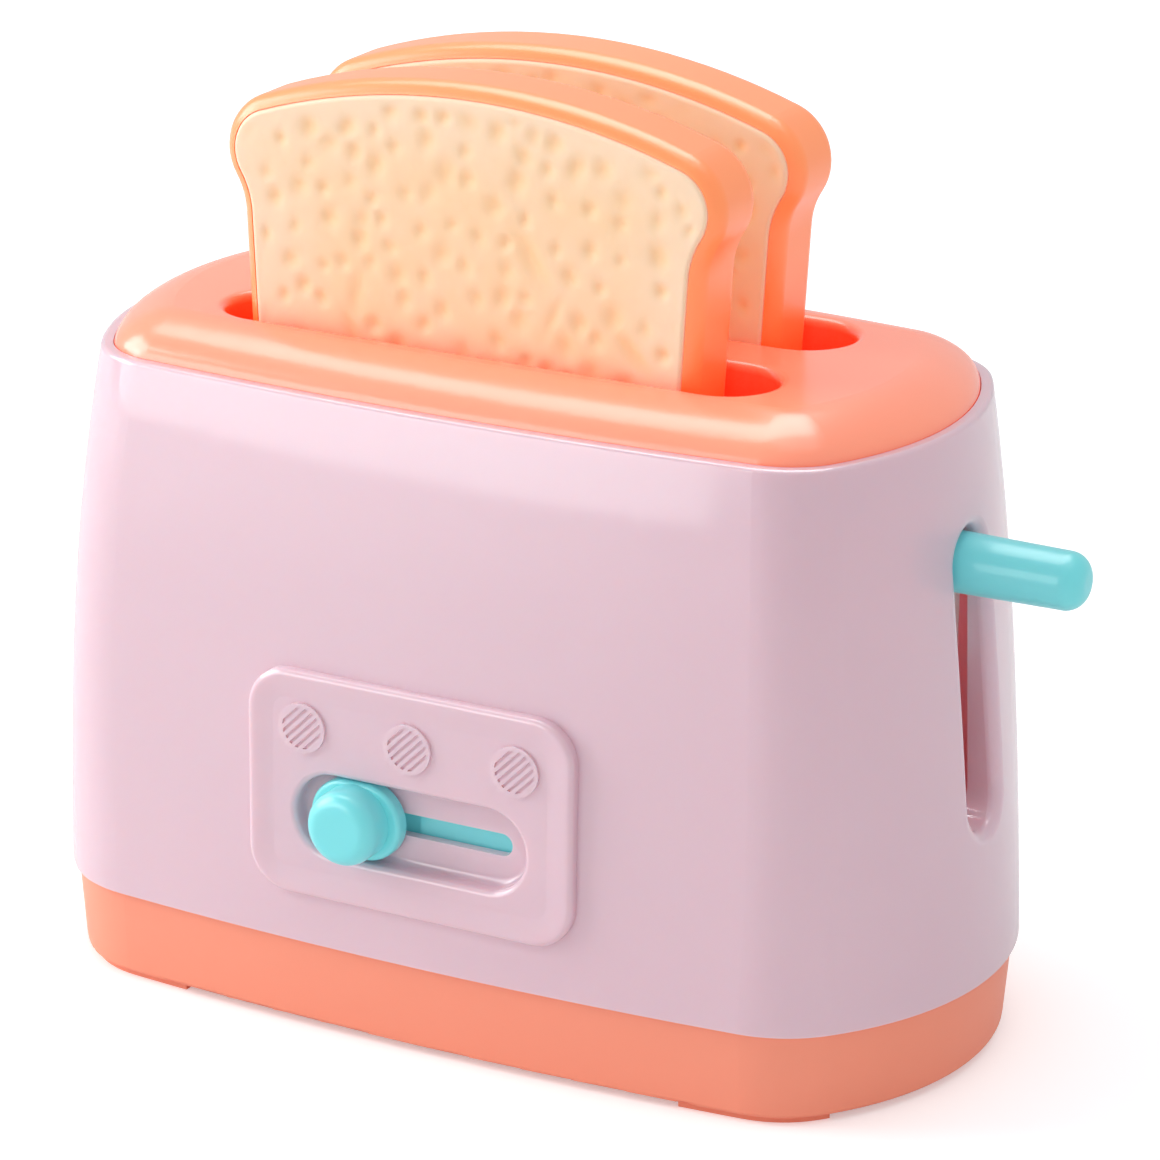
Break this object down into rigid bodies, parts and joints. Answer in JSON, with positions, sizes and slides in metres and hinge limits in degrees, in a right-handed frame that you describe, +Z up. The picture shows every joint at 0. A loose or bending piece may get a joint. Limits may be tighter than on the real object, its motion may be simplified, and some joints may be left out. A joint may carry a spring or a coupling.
{
  "type": "toy toaster",
  "caption": "Toy toaster with a sprung lever in the end that lifts toy bread slices out of chutes in its crowned cover, and a sliding knob on the front.",
  "frame": {"origin": "centre of the bounding box, on the floor under the feet", "axes": "+X towards the lever, -Y towards the knob on the front, +Z up"},
  "size_m": [0.1834, 0.095, 0.1597],
  "materials": {
    "pink_shell": "glossy moulded plastic, pale pink",
    "coral_gloss": "glossy moulded plastic, coral",
    "coral_satin": "satin moulded plastic, coral",
    "teal": "glossy moulded plastic, pale teal",
    "crust": "satin moulded plastic, orange crust",
    "crumb": "satin moulded plastic, cream with dimples",
    "white_frame": "plain moulded plastic, off-white",
    "steel": "bright steel"
  },
  "bodies": {
    "housing": {"shell": "pink_shell", "top_cover": "coral_gloss", "base_tub": "coral_satin", "guide_rod_left": "steel", "guide_rod_right": "steel", "lift_spring_left": "steel", "lift_spring_right": "steel", "base_screws": "steel", "slider_frame": "white_frame", "frame_screws": "steel"},
    "carriage": {"bread_carriage": "white_frame", "lever_handle": "teal", "lever_screw": "steel"},
    "front_slice": {"front_slice_crust": "crust", "front_slice_crumb_front": "crumb", "front_slice_crumb_back": "crumb"},
    "rear_slice": {"rear_slice_crust": "crust", "rear_slice_crumb_front": "crumb", "rear_slice_crumb_back": "crumb"},
    "knob": {"browning_knob": "teal", "slider_strip": "teal", "knob_screw": "steel"}
  },
  "joints": [
    {"name": "lever_slide", "type": "slide", "parent": "housing", "child": "carriage", "axis": [0, 0, 1], "range_m": [-0.0385, 0], "stiffness_N_per_m": 60, "springref_m": 0.06, "deforming": ["lift_spring_left", "lift_spring_right"]},
    {"name": "front_slice_lift", "type": "slide", "parent": "carriage", "child": "front_slice", "axis": [0, 0, 1], "range_m": [0, 0.09]},
    {"name": "rear_slice_lift", "type": "slide", "parent": "carriage", "child": "rear_slice", "axis": [0, 0, 1], "range_m": [0, 0.09]},
    {"name": "knob_slide", "type": "slide", "parent": "housing", "child": "knob", "axis": [1, 0, 0], "range_m": [0, 0.0208]}
  ]
}
